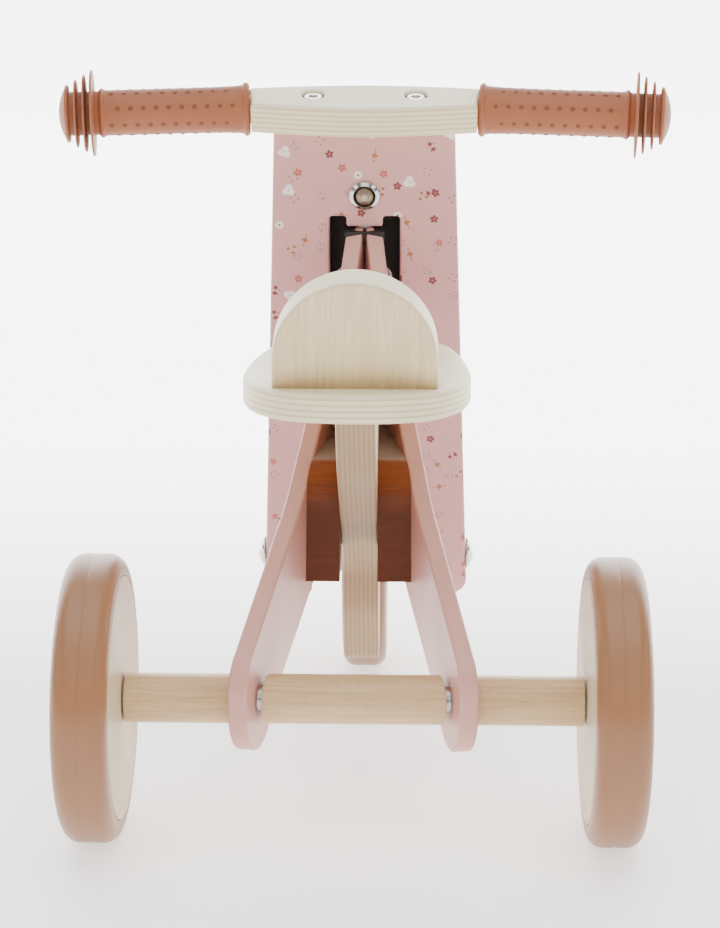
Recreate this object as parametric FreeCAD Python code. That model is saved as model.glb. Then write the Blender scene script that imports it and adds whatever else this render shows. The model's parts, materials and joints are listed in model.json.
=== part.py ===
import FreeCAD, Part
import math
import os

from FreeCAD import Placement, Rotation, Vector

# Wooden children's tricycle, in millimetres.
# +Y is forwards, +X is the rider's right, +Z is up, and the wheels stand on z = 0.
# The fork board has its own directions: x across, up along the board from the front axle,
# and back out of its rear face. Steering turns about the line x = 0, back = 0.

# Driving dimensions -------------------------------------------------------
WHEEL_DIAMETER = 150.0
WHEEL_WIDTH = 28.0
TYRE_SHOULDER = 8.0
DISC_DIAMETER = 127.0           # wooden disc inside the tyre
DISC_PROUD = 0.3                # the disc stands proud of the tyre's sides
WHEELBASE = 325.0
REAR_WHEEL_INNER = 120.5        # inner face of a rear wheel from the middle
HEAD_LEAN = 18.0                # the fork board leans back from vertical, degrees

ROD_RADIUS = 4.0                # both axles and the steering pivot
DOWEL_RADIUS = 13.0             # wooden spacer sleeves on the axles
BUSH_RADIUS = 8.0
HUB_PROUD = 0.5                 # the hub bush stands proud of the disc
CAP_NUT = (20.0, 5.2)           # diameter and height of the domed axle nuts

BOARD_THICKNESS = 18.0
BOARD_TOP = 300.5
BOARD_FOOT = -27.0
BOARD_HALF_TOP = 54.0
BOARD_HALF_FOOT = 67.0
NOTCH_HALF = 36.0               # wheel notch between the two fork legs
NOTCH_TOP = 92.0
WINDOW_HALF = 21.4              # window for the head of the frame
WINDOW_LOW = 160.0
WINDOW_HIGH = 243.9
TONGUE_HALF = 11.0
TONGUE_DROP = 6.7

PIVOT_LOW = 126.0
PIVOT_HIGH = 290.0
LOCK_UP = 257.8                 # domed bolt that locks the pivot rod
LOCK_DOME = (18.5, 5.0)
HOUSING_HALF = 31.0
HOUSING_LOW = 148.0
HOUSING_HIGH = 256.0
HOUSING_DEPTH = 12.0
HOUSING_WALL = 3.0
HOUSING_RIM = 8.0

BAR_THICKNESS = 18.0
BAR_HALF = 68.0                 # the grips start here
BAR_BOLT_X = 30.5
BAR_BOLT_SEAT = 12.0            # depth of wood under a bolt head
BAR_BOLT_HEAD = (5.6, 4.6)
BAR_RECESS_RADIUS = 6.6
SMALL_BOLT_RADIUS = 3.0
BARREL_UP = 272.0
BARREL_RADIUS = 5.0
GRIP_REACH = 113.0
GRIP_SWEEP = 5.0                # degrees towards the rider
TENON_RADIUS = 8.5
TENON_LENGTH = 103.0

ARM_THICKNESS = 10.0
ARM_HEAD = (7.9, 70.0)          # an arm's centre plane passes these (x, y)
ARM_TAIL = (59.0, -188.0)
ARM_LOBE_RADIUS = 26.5
HEAD_LOW = 165.0                # head block on the steering axis
HEAD_HIGH = 235.8
HEAD_RADIUS = 12.0
HEAD_SEAM = 6.5
HEAD_CHEEK = 14.0
WASHER_RADIUS = 6.4

PLATE_THICKNESS = 21.0
PLATE_FRONT = 18.0
WEDGE_REAR = (-65.0, 113.0)     # lower and upper corners, (y, z)
WEDGE_TOP = (-62.0, 178.0)
WEDGE_FRONT = (150.0, 188.0)     # heights at the front
WEDGE_ROUND = 20.0
SEAT_TOP = 239.5
SEAT_THICKNESS = 15.0
BACKREST_HALF = 42.0
BACKREST_HEIGHT = 56.5
BACKREST_THICKNESS = 22.0
BACKREST_REAR = -167.0
BACKREST_LEAN = 14.0
REAR_SLEEVE_GAP = 3.3           # between the middle sleeve and the arms

RUNNING_CLEARANCE = 0.05        # radial, shafts that turn in their holes
SIDE_GAP = 0.5                  # beside parts that turn

# Derived ------------------------------------------------------------------
AXLE_Z = WHEEL_DIAMETER / 2
REAR_Y = -WHEELBASE / 2
FRONT_Y = WHEELBASE / 2
ARM_SLOPE = (ARM_TAIL[0] - ARM_HEAD[0]) / (ARM_HEAD[1] - ARM_TAIL[1])
ARM_ANGLE = math.atan(ARM_SLOPE)
ARM_HALF_ACROSS = ARM_THICKNESS / 2 / math.cos(ARM_ANGLE)
SEAT_UNDER = SEAT_TOP - SEAT_THICKNESS
BOARD_FACE = BOARD_THICKNESS / 2
HUB_INSET = -DISC_PROUD - HUB_PROUD
HUB_SIDE = HUB_INSET - SIDE_GAP     # where a fixed neighbour of a wheel starts
GRIP_UP = BOARD_TOP + BAR_THICKNESS / 2
X_AXIS = Vector(1, 0, 0)
Z_AXIS = Vector(0, 0, 1)
BOARD_PLACEMENT = Placement(Vector(0, FRONT_Y, AXLE_Z), Rotation(X_AXIS, 90 + HEAD_LEAN))
UPRIGHT = Rotation(Vector(1, 1, 1), 120)    # turns x, y, z into y, z, x

WEDGE_BOLTS = ((-34.0, 140.0), (-8.0, 156.0))
HEAD_BOLT = (70.0, 269.0)
SEAT_SCREW_Y = (-108.0, -32.0)
BACKREST_SCREW_X = (-24.0, 24.0)
HOUSING_SCREWS = ((-26.5, 153.0), (26.5, 153.0), (-26.5, 251.0), (26.5, 251.0))


# Helpers ------------------------------------------------------------------
def board_point(x, up, back):
    return BOARD_PLACEMENT.multVec(Vector(x, up, back))


def board_yz(up, back):
    point = board_point(0, up, back)
    return point.y, point.z


def on_board(shape):
    """Move a shape made in the board's own directions onto the board."""
    placed = shape.copy()
    placed.Placement = BOARD_PLACEMENT.multiply(placed.Placement)
    return placed


def rod(radius, start, end):
    run = end - start
    return Part.makeCylinder(radius, run.Length, start, run)


def across(radius, x_low, x_high, y, z):
    return rod(radius, Vector(x_low, y, z), Vector(x_high, y, z))


def sleeve(outer, inner, x_low, x_high, y, z):
    return across(outer, x_low, x_high, y, z).cut(across(inner, x_low - 1, x_high + 1, y, z))


def cut_all(shape, tools):
    for tool in tools:
        shape = shape.cut(tool)
    return shape


def largest(shape):
    return max(shape.Solids, key=lambda solid: solid.Volume)


def rounded_outline(points, radii):
    """Face of a polygon in the XY plane whose corners are rounded by radii."""
    corners = [Vector(x, y, 0) for x, y in points]
    count = len(corners)
    entries = []
    exits = []
    edges = []
    for index, here in enumerate(corners):
        radius = radii[index]
        way_in = (corners[index - 1] - here).normalize()
        way_out = (corners[(index + 1) % count] - here).normalize()
        half = way_in.getAngle(way_out) / 2
        reach = radius / math.tan(half)
        entries.append(here + way_in * reach)
        exits.append(here + way_out * reach)
        if radius > 0:
            bisector = (way_in + way_out).normalize()
            middle = here + bisector * (radius / math.sin(half) - radius)
            edges.append(Part.Arc(entries[-1], middle, exits[-1]).toShape())
    for index in range(count):
        following = entries[(index + 1) % count]
        if exits[index].distanceToPoint(following) > 1e-6:
            edges.append(Part.LineSegment(exits[index], following).toShape())
    ordered = Part.__sortEdges__(edges)
    return Part.Face(Part.Wire(ordered))


def slab(points, radii, thickness):
    """Rounded polygon extruded evenly to both sides of the XY plane."""
    solid = rounded_outline(points, radii).extrude(Vector(0, 0, thickness))
    solid.translate(Vector(0, 0, -thickness / 2))
    return solid


def upright_slab(points, radii, thickness):
    """Slab of a (y, z) outline with its thickness across X."""
    solid = slab(points, radii, thickness)
    solid.Placement = Placement(Vector(), UPRIGHT).multiply(solid.Placement)
    return solid


def rectangle(half_x, low, high):
    return [(-half_x, low), (half_x, low), (half_x, high), (-half_x, high)]


def dome(base, direction, diameter, height):
    """Low domed head with a short straight rim, standing on base."""
    radius = diameter / 2
    rim = height * 0.25
    rise = height - rim
    ball_radius = (radius ** 2 + rise ** 2) / (2 * rise)
    middle_height = height - ball_radius
    slope = math.asin(radius / ball_radius) / 2
    middle = Vector(
        ball_radius * math.sin(slope), 0, middle_height + ball_radius * math.cos(slope)
    )
    foot = Vector(radius, 0, 0)
    shoulder = Vector(radius, 0, rim)
    crown = Vector(0, 0, height)
    edges = [
        Part.LineSegment(Vector(), foot).toShape(),
        Part.LineSegment(foot, shoulder).toShape(),
        Part.Arc(shoulder, middle, crown).toShape(),
        Part.LineSegment(crown, Vector()).toShape(),
    ]
    head = Part.Face(Part.Wire(edges)).revolve(Vector(), Z_AXIS, 360)
    head.Placement = Placement(base, Rotation(Z_AXIS, Vector(direction)))
    return head


def countersunk(top, direction, head_radius, shank_radius, length):
    """Countersunk screw whose flat head ends at top."""
    way = Vector(direction).normalize()
    depth = head_radius - shank_radius
    head = Part.makeCone(head_radius, shank_radius, depth, top, way)
    return head.fuse(Part.makeCylinder(shank_radius, length, top, way))


# Wheels -------------------------------------------------------------------
def tyre(x_low, y):
    ring = sleeve(WHEEL_DIAMETER / 2, DISC_DIAMETER / 2, x_low, x_low + WHEEL_WIDTH, y, AXLE_Z)
    rims = []
    for edge in ring.Edges:
        box = edge.BoundBox
        if box.ZLength > WHEEL_DIAMETER - 1 and box.XLength < 1e-3:
            rims.append(edge)
    return ring.makeFillet(TYRE_SHOULDER, rims)


def wheel(x_low, y):
    """Tyre, wooden disc and the nylon bush that runs on the axle rod."""
    x_high = x_low + WHEEL_WIDTH
    bore = ROD_RADIUS + RUNNING_CLEARANCE
    disc_low = x_low - DISC_PROUD
    disc_high = x_high + DISC_PROUD
    disc = sleeve(DISC_DIAMETER / 2, BUSH_RADIUS, disc_low, disc_high, y, AXLE_Z)
    bush_low = x_low + HUB_INSET
    bush_high = x_high - HUB_INSET
    return {
        "tyre": tyre(x_low, y),
        "disc": disc,
        "bush": sleeve(BUSH_RADIUS, bore, bush_low, bush_high, y, AXLE_Z),
    }


# Fork ---------------------------------------------------------------------
def board_half(up):
    share = (BOARD_TOP - up) / (BOARD_TOP - BOARD_FOOT)
    return BOARD_HALF_TOP + (BOARD_HALF_FOOT - BOARD_HALF_TOP) * share


def pivot_bar(low, high, radius=ROD_RADIUS):
    """Round bar on the steering axis."""
    return rod(radius, board_point(0, low, 0), board_point(0, high, 0))


def front_rod():
    reach = board_half(0) + CAP_NUT[1] * 0.5
    return across(ROD_RADIUS, -reach, reach, FRONT_Y, AXLE_Z)


def lock_bolt():
    face = board_point(0, LOCK_UP, BOARD_FACE)
    shank = rod(SMALL_BOLT_RADIUS, face, board_point(0, LOCK_UP, ROD_RADIUS))
    outward = board_point(0, LOCK_UP, BOARD_FACE + 1) - face
    return shank.fuse(dome(face, outward, *LOCK_DOME))


def bar_bolt_shank(x):
    return rod(
        SMALL_BOLT_RADIUS,
        board_point(x, BARREL_UP, 0),
        board_point(x, BOARD_TOP + BAR_BOLT_SEAT, 0),
    )


def bar_bolt(x):
    """Barrel-nut bolt with a hexagon socket, sunk in the handlebar."""
    radius, height = BAR_BOLT_HEAD
    seat = BOARD_TOP + BAR_BOLT_SEAT
    head = rod(radius, board_point(x, seat, 0), board_point(x, seat + height, 0))
    corners = []
    for index in range(7):
        angle = math.radians(60 * index)
        corners.append(Vector(x + 2.3 * math.cos(angle), seat + 2, 2.3 * math.sin(angle)))
    socket = Part.Face(Part.makePolygon(corners)).extrude(Vector(0, height, 0))
    return bar_bolt_shank(x).fuse(head).cut(on_board(socket))


def barrel_nut(x):
    """Cross dowel that the bar bolt screws into, let in from the board's front."""
    return rod(
        BARREL_RADIUS, board_point(x, BARREL_UP, -BOARD_FACE + 0.5), board_point(x, BARREL_UP, 6)
    )


def fork_board():
    foot = BOARD_HALF_FOOT
    top = BOARD_HALF_TOP
    outline = [(-foot, BOARD_FOOT), (foot, BOARD_FOOT), (top, BOARD_TOP), (-top, BOARD_TOP)]
    board = slab(outline, [11, 11, 3, 3], BOARD_THICKNESS)
    arch = NOTCH_HALF - 0.5
    notch = slab(rectangle(NOTCH_HALF, BOARD_FOOT - 20, NOTCH_TOP), [0, 0, arch, arch], 30)
    shoulder = WINDOW_HIGH - TONGUE_DROP
    opening = [
        (-WINDOW_HALF, WINDOW_LOW),
        (WINDOW_HALF, WINDOW_LOW),
        (WINDOW_HALF, WINDOW_HIGH),
        (TONGUE_HALF, WINDOW_HIGH),
        (TONGUE_HALF, shoulder),
        (-TONGUE_HALF, shoulder),
        (-TONGUE_HALF, WINDOW_HIGH),
        (-WINDOW_HALF, WINDOW_HIGH),
    ]
    window = slab(opening, [6, 6, 1.5, 2.5, 1.5, 1.5, 2.5, 1.5], 30)
    board = on_board(board.cut(notch).cut(window))
    holes = [
        front_rod(),
        pivot_bar(PIVOT_LOW - 1, PIVOT_HIGH + 1),
        rod(SMALL_BOLT_RADIUS, board_point(0, LOCK_UP, 0), board_point(0, LOCK_UP, 12)),
    ]
    for x in (-BAR_BOLT_X, BAR_BOLT_X):
        holes.append(bar_bolt_shank(x))
        holes.append(barrel_nut(x))
        mouth = board_point(x, BARREL_UP, -BOARD_FACE - 1)
        holes.append(rod(BARREL_RADIUS, mouth, board_point(x, BARREL_UP, 0)))
    holes.extend(housing_screws())
    return cut_all(board, holes)


def housing_screws():
    screws = []
    front = -BOARD_FACE - HOUSING_DEPTH
    for x, up in HOUSING_SCREWS:
        head = board_point(x, up, front)
        screws.append(countersunk(head, board_point(x, up, 0) - head, 3.4, 1.6, HOUSING_DEPTH + 10))
    return screws


def head_housing():
    """Black cover on the board's front that encloses the head of the frame."""
    outer = slab(rectangle(HOUSING_HALF, HOUSING_LOW, HOUSING_HIGH), [9] * 4, HOUSING_DEPTH)
    rim = [edge for edge in outer.Edges if edge.BoundBox.ZMax < -HOUSING_DEPTH / 2 + 1e-3]
    outer = outer.makeFillet(3, rim)
    hollow_half = HOUSING_HALF - HOUSING_RIM
    hollow = rectangle(hollow_half, HOUSING_LOW + HOUSING_RIM, HOUSING_HIGH - HOUSING_RIM)
    inner = slab(hollow, [6] * 4, HOUSING_DEPTH)
    inner.translate(Vector(0, 0, HOUSING_WALL))
    shell = outer.cut(inner)
    shell.translate(Vector(0, 0, -BOARD_FACE - HOUSING_DEPTH / 2))
    return cut_all(on_board(shell), housing_screws())


def handlebar():
    """Crossbar that bulges towards the rider, with round tenons inside the grips."""
    low = BOARD_TOP
    half = BAR_HALF + 2
    rear_curve = Part.BSplineCurve()
    rear_points = [(-half, 17.2), (-46, 21.6), (0, 25.0), (46, 21.6), (half, 17.2)]
    rear_curve.interpolate([Vector(x, low, back) for x, back in rear_points])
    front_left = Vector(-half, low, -11.5)
    front_right = Vector(half, low, -11.5)
    edges = [
        rear_curve.toShape(),
        Part.LineSegment(Vector(half, low, 17.2), front_right).toShape(),
        Part.Arc(front_right, Vector(0, low, -17.3), front_left).toShape(),
        Part.LineSegment(front_left, Vector(-half, low, 17.2)).toShape(),
    ]
    bar = Part.Face(Part.Wire(edges)).extrude(Vector(0, BAR_THICKNESS, 0))
    long_rims = []
    for edge in bar.Edges:
        if edge.BoundBox.YLength < 1e-3 and edge.BoundBox.XLength > half:
            long_rims.append(edge)
    bar = on_board(bar.makeFillet(2.0, long_rims))
    for side in (-1, 1):
        bar = bar.cut(rod(60, grip_point(side, 0), grip_point(side, 30)))
        bar = bar.fuse(rod(TENON_RADIUS, grip_point(side, -8), grip_point(side, TENON_LENGTH)))
    for x in (-BAR_BOLT_X, BAR_BOLT_X):
        seat = board_point(x, BOARD_TOP + BAR_BOLT_SEAT, 0)
        bar = bar.cut(rod(BAR_RECESS_RADIUS, seat, board_point(x, BOARD_TOP + 30, 0)))
        bar = bar.cut(bar_bolt_shank(x))
    return bar


def grip_point(side, along):
    """Point on a grip's axis, measured from its inner end."""
    sweep = math.radians(GRIP_SWEEP)
    x = BAR_HALF + along * math.cos(sweep)
    return board_point(side * x, GRIP_UP, 1.0 + along * math.sin(sweep))


def grip(side, bar):
    """Soft grip: flange, body, a thick ring, three guard discs and a domed end."""
    start = grip_point(side, 0)
    way = (grip_point(side, 10) - start).normalize()
    length = GRIP_REACH / math.cos(math.radians(GRIP_SWEEP))
    turned = [
        (0.2, 4.5, 15.9),
        (4.5, 86.0, 13.4),
        (86.0, 89.5, 14.6),
        (89.5, length - 5.5, 12.9),
        (92.4, 94.6, 25.4),
        (97.1, 99.1, 22.7),
        (102.2, 104.1, 20.0),
    ]
    body = dome(start + way * (length - 6.5), way, 34.0, 6.5)
    for low, high, radius in turned:
        body = body.fuse(Part.makeCylinder(radius, high - low, start + way * low, way))
    return body.cut(bar)


def axle_caps(reach, y, blockers):
    """Domed nuts on both ends of an axle, with their bases at reach."""
    caps = []
    for side in (-1, 1):
        caps.append(dome(Vector(side * reach, y, AXLE_Z), X_AXIS * side, *CAP_NUT))
    return [cut_all(cap, blockers) for cap in caps]


def front_spacers():
    low = WHEEL_WIDTH / 2 - HUB_SIDE
    right = sleeve(DOWEL_RADIUS, ROD_RADIUS, low, NOTCH_HALF, FRONT_Y, AXLE_Z)
    return {"left": right.mirror(Vector(), X_AXIS), "right": right}


# Frame --------------------------------------------------------------------
def arm_half(y):
    """Distance of an arm's centre plane from the middle."""
    return ARM_HEAD[0] + (ARM_HEAD[1] - y) * ARM_SLOPE


def arm_inner(y):
    return arm_half(y) - ARM_HALF_ACROSS


def arm_outer(y):
    return arm_half(y) + ARM_HALF_ACROSS


def bare_arm(side):
    """Flat arm on edge: head, straight mast, gentle bend and a round lobe at the axle."""
    tail = REAR_Y - ARM_LOBE_RADIUS
    sole = AXLE_Z - ARM_LOBE_RADIUS
    corners = [
        (board_yz(HEAD_HIGH, 11), 1.5),
        ((58.0, 266.0), 12),
        ((-71.0, 159.0), 120),
        ((tail, 96.0), 22),
        ((tail, sole), ARM_LOBE_RADIUS),
        ((-152.0, sole), 30),
        ((-114.0, 74.5), 60),
        ((-45.0, 107.6), 150),
        ((30.0, 155.0), 60),
        (board_yz(HEAD_LOW, 16), 4),
        (board_yz(HEAD_LOW, HEAD_SEAM), 0),
        (board_yz(HEAD_HIGH, HEAD_SEAM), 0),
    ]
    stretch = math.cos(ARM_ANGLE)
    points = [((y - ARM_HEAD[1]) / stretch, z) for (y, z), _ in corners]
    plate = upright_slab(points, [radius for _, radius in corners], ARM_THICKNESS)
    turn = Rotation(Z_AXIS, math.degrees(side * ARM_ANGLE))
    place = Placement(Vector(side * ARM_HEAD[0], ARM_HEAD[1], 0), turn)
    plate.Placement = place.multiply(plate.Placement)
    far_half = Part.makeBox(200, 700, 500, Vector(-200 if side > 0 else 0, -350, 0))
    return plate.cut(far_half)


def cross_bolt(y, z, diameter, height):
    """Bolt through both arms with a domed head that sits on each slanted face."""
    reach = arm_outer(y)
    bolt = across(SMALL_BOLT_RADIUS, -reach, reach, y, z)
    for side in (-1, 1):
        root = Vector(side * (reach - 1.6), y, z)
        head = dome(root, X_AXIS * side, diameter, height + 1.6).cut(bare_arm(side))
        bolt = bolt.fuse(head)
    return bolt


def cross_bores():
    bolts = [*WEDGE_BOLTS, HEAD_BOLT]
    return [across(SMALL_BOLT_RADIUS, -80, 80, y, z) for y, z in bolts]


def head_block():
    """Black block that carries the steering pivot and grips the arms' heads."""
    column = pivot_bar(HEAD_LOW, HEAD_HIGH, HEAD_RADIUS)
    cheeks = Part.makeBox(
        2 * HEAD_RADIUS, HEAD_HIGH - HEAD_LOW, HEAD_CHEEK, Vector(-HEAD_RADIUS, HEAD_LOW, 0)
    )
    block = column.fuse(on_board(cheeks)).removeSplitter()
    bore = pivot_bar(HEAD_LOW - 1, HEAD_HIGH + 1, ROD_RADIUS + RUNNING_CLEARANCE)
    return largest(cut_all(block, [bore, bare_arm(-1), bare_arm(1)]))


def pivot_washers():
    """Nylon washers above and below the head block."""
    bore = pivot_bar(HEAD_LOW - 10, HEAD_HIGH + 10, ROD_RADIUS + RUNNING_CLEARANCE)
    low = pivot_bar(WINDOW_LOW + 0.6, HEAD_LOW, WASHER_RADIUS).cut(bore)
    high = pivot_bar(HEAD_HIGH, WINDOW_HIGH - TONGUE_DROP - 0.4, WASHER_RADIUS).cut(bore)
    return [low, high]


def wedge(side):
    """Stained block that fills the V between an arm and the seat support."""
    inner = PLATE_THICKNESS / 2
    rear = WEDGE_REAR[0]
    plan = [
        Vector(inner, rear, 0),
        Vector(arm_inner(rear), rear, 0),
        Vector(arm_inner(PLATE_FRONT), PLATE_FRONT, 0),
        Vector(inner, PLATE_FRONT, 0),
        Vector(inner, rear, 0),
    ]
    block = Part.Face(Part.makePolygon(plan)).extrude(Vector(0, 0, WEDGE_FRONT[1] + 1))
    low, high = WEDGE_FRONT
    side_view = [WEDGE_REAR, (PLATE_FRONT, low), (PLATE_FRONT, high), WEDGE_TOP]
    block = block.common(upright_slab(side_view, [0, 0, 0, WEDGE_ROUND], 200))
    if side < 0:
        block = block.mirror(Vector(), X_AXIS)
    return cut_all(block, cross_bores())


def seat_support():
    """Thick plywood plate on edge, from the seat down between the arms."""
    corners = [
        ((-156.0, SEAT_UNDER), 0),
        ((-121.0, 186.0), 40),
        ((-61.0, 146.0), 80),
        ((-8.0, 108.0), 20),
        ((-3.0, 80.0), 30),
        ((22.0, 41.5), 13),
        ((52.0, 41.5), 13),
        ((58.0, 82.0), 30),
        ((PLATE_FRONT, 146.0), 25),
        ((PLATE_FRONT, SEAT_UNDER), 0),
    ]
    plate = upright_slab(
        [point for point, _ in corners], [radius for _, radius in corners], PLATE_THICKNESS
    )
    return cut_all(plate, cross_bores() + seat_screws())


def seat():
    half_points = [(33, -180), (52, -157), (59, -130), (60, -103), (58.4, -72), (55, -41),
                   (49, -12), (41, 2), (25, 6.5)]
    right = [Vector(x, y, 0) for x, y in half_points]
    left = [Vector(-x, y, 0) for x, y in reversed(half_points)]
    curve = Part.BSplineCurve()
    curve.interpolate([Vector(0, -187, 0), *right, Vector(0, 7, 0), *left], PeriodicFlag=True)
    board = Part.Face(Part.Wire(curve.toShape())).extrude(Vector(0, 0, SEAT_THICKNESS))
    board.translate(Vector(0, 0, SEAT_UNDER))
    rims = [edge for edge in board.Edges if edge.BoundBox.ZLength < 1e-3]
    board = board.makeFillet(2.5, rims)
    return cut_all(board, seat_screws() + backrest_screws())


def seat_screws():
    down = Vector(0, 0, -1)
    return [countersunk(Vector(0, y, SEAT_TOP), down, 5.0, 2.5, 45) for y in SEAT_SCREW_Y]


def backrest():
    """D-shaped block that leans back on the seat."""
    straight = BACKREST_HEIGHT - BACKREST_HALF
    half = BACKREST_HALF
    edges = [
        Part.LineSegment(Vector(-half, -10, 0), Vector(half, -10, 0)).toShape(),
        Part.LineSegment(Vector(half, -10, 0), Vector(half, straight, 0)).toShape(),
        Part.Arc(
            Vector(half, straight, 0), Vector(0, BACKREST_HEIGHT, 0), Vector(-half, straight, 0)
        ).toShape(),
        Part.LineSegment(Vector(-half, straight, 0), Vector(-half, -10, 0)).toShape(),
    ]
    block = Part.Face(Part.Wire(edges)).extrude(Vector(0, 0, -BACKREST_THICKNESS))
    rims = [edge for edge in block.Edges if edge.BoundBox.ZLength < 1e-3]
    block = block.makeFillet(1.5, rims)
    place = Placement(Vector(0, BACKREST_REAR, SEAT_TOP), Rotation(X_AXIS, 90 + BACKREST_LEAN))
    block.Placement = place.multiply(block.Placement)
    below = Part.makeBox(200, 200, 40, Vector(-100, BACKREST_REAR - 100, SEAT_TOP - 40))
    return cut_all(block, [below, *backrest_screws()])


def backrest_screws():
    up = Vector(0, 0, 1)
    y = BACKREST_REAR + BACKREST_THICKNESS / 2 - 3
    return [countersunk(Vector(x, y, SEAT_UNDER), up, 4.5, 2.2, 38) for x in BACKREST_SCREW_X]


def rear_rod():
    reach = REAR_WHEEL_INNER + WHEEL_WIDTH - HUB_SIDE + CAP_NUT[1] * 0.5
    return across(ROD_RADIUS, -reach, reach, REAR_Y, AXLE_Z)


def rear_sleeves():
    """Three dowel sleeves whose ends follow the slant of the arms."""
    middle_reach = arm_inner(REAR_Y) + 10
    middle = sleeve(DOWEL_RADIUS, ROD_RADIUS, -middle_reach, middle_reach, REAR_Y, AXLE_Z)
    outer = sleeve(
        DOWEL_RADIUS, ROD_RADIUS, arm_inner(REAR_Y), REAR_WHEEL_INNER + HUB_SIDE, REAR_Y, AXLE_Z
    )
    keep_out = []
    for side in (-1, 1):
        thick = ARM_THICKNESS + 2 * REAR_SLEEVE_GAP
        wide = upright_slab([(-400, 0), (0, 0), (0, 300), (-400, 300)], [0] * 4, thick)
        turn = Rotation(Z_AXIS, math.degrees(side * ARM_ANGLE))
        place = Placement(Vector(side * ARM_HEAD[0], ARM_HEAD[1], 0), turn)
        wide.Placement = place.multiply(wide.Placement)
        keep_out.append(wide)
    return largest(cut_all(middle, keep_out)), largest(outer.cut(bare_arm(1)))


def rear_nuts(middle):
    """Plain nuts that clamp the arms, in the gaps beside the middle sleeve."""
    nuts = []
    for side in (-1, 1):
        low = arm_inner(REAR_Y) - 5
        nut = sleeve(7, ROD_RADIUS, low, low + 8, REAR_Y, AXLE_Z)
        if side < 0:
            nut = nut.mirror(Vector(), X_AXIS)
        nuts.append(largest(cut_all(nut, [middle, bare_arm(side)])))
    return nuts


# Assembly -----------------------------------------------------------------
def build():
    nodes = {}
    wheel_places = {
        "front_wheel": (-WHEEL_WIDTH / 2, FRONT_Y),
        "rear_left_wheel": (-REAR_WHEEL_INNER - WHEEL_WIDTH, REAR_Y),
        "rear_right_wheel": (REAR_WHEEL_INNER, REAR_Y),
    }
    for name, (x_low, y) in wheel_places.items():
        for piece, shape in wheel(x_low, y).items():
            nodes[name + "_" + piece] = shape

    board = fork_board()
    nodes["fork_board"] = board
    nodes["head_housing"] = head_housing()
    nodes["housing_screws"] = housing_screws()
    nodes["pivot_rod"] = pivot_bar(PIVOT_LOW, PIVOT_HIGH)
    nodes["pivot_lock_bolt"] = lock_bolt()
    nodes["handlebar"] = handlebar()
    bar_places = (-BAR_BOLT_X, BAR_BOLT_X)
    nodes["handlebar_bolts"] = [bar_bolt(x) for x in bar_places]
    nodes["barrel_nuts"] = [barrel_nut(x).cut(bar_bolt_shank(x)) for x in bar_places]
    for name, side in (("left", -1), ("right", 1)):
        nodes["grip_" + name] = grip(side, nodes["handlebar"])
    nodes["front_axle_rod"] = front_rod()
    nodes["front_axle_caps"] = axle_caps(board_half(0), FRONT_Y, [front_rod(), board])
    for name, shape in front_spacers().items():
        nodes["front_spacer_" + name] = shape

    rear = rear_rod()
    for name, side in (("left", -1), ("right", 1)):
        nodes["arm_" + name] = cut_all(bare_arm(side), [rear, *cross_bores()])
        nodes["wedge_" + name] = wedge(side)
    nodes["head_block"] = head_block()
    nodes["pivot_washers"] = pivot_washers()
    nodes["head_bolt"] = cross_bolt(*HEAD_BOLT, 12.0, 4.0)
    nodes["wedge_bolts"] = [cross_bolt(y, z, 15.0, 4.5) for y, z in WEDGE_BOLTS]
    nodes["seat_support"] = seat_support()
    nodes["seat"] = seat()
    nodes["seat_screws"] = seat_screws()
    nodes["backrest"] = backrest()
    nodes["backrest_screws"] = backrest_screws()
    middle, right = rear_sleeves()
    nodes["rear_axle_rod"] = rear
    nodes["rear_sleeve_middle"] = middle
    nodes["rear_sleeve_right"] = right
    nodes["rear_sleeve_left"] = right.mirror(Vector(), X_AXIS)
    nodes["rear_arm_nuts"] = rear_nuts(middle)
    cap_reach = REAR_WHEEL_INNER + WHEEL_WIDTH - HUB_SIDE
    nodes["rear_axle_caps"] = axle_caps(cap_reach, REAR_Y, [rear])
    return nodes


def export(nodes):
    os.makedirs("parts", exist_ok=True)
    for name, shape in nodes.items():
        if isinstance(shape, list):
            shape = Part.makeCompound(shape)
        solids = shape.Solids
        valid = all(solid.isValid() for solid in solids)
        print(f"{name}: {len(solids)} solid(s), valid {valid}, {shape.Volume / 1000:.1f} cm3")
        shape.exportStep(os.path.join("parts", name + ".step"))


export(build())
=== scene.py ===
import json
import math

import bmesh
import bpy
from mathutils import Matrix, Vector


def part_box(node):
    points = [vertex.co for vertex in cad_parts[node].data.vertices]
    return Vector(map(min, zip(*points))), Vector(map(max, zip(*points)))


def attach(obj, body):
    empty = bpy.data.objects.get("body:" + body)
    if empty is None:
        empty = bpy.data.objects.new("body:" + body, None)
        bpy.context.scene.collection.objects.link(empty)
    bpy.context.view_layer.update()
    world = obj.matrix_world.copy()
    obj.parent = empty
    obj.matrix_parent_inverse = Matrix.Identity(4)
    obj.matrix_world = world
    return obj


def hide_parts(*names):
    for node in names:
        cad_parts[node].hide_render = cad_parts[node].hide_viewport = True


# The children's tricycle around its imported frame. Shapes are written in millimetres in a
# piece's own directions and scaled to metres as they are made; places come from the frame.

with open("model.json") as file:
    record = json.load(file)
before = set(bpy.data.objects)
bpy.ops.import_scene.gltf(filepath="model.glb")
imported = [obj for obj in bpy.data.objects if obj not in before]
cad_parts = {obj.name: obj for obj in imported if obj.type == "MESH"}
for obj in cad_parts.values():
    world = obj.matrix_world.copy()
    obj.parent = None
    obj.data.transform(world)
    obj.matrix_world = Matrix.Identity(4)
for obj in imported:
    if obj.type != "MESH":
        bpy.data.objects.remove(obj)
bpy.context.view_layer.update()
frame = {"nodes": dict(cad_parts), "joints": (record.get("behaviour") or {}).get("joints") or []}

MM = 0.001
X_AXIS = Vector((1, 0, 0))
Z_AXIS = Vector((0, 0, 1))


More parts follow.
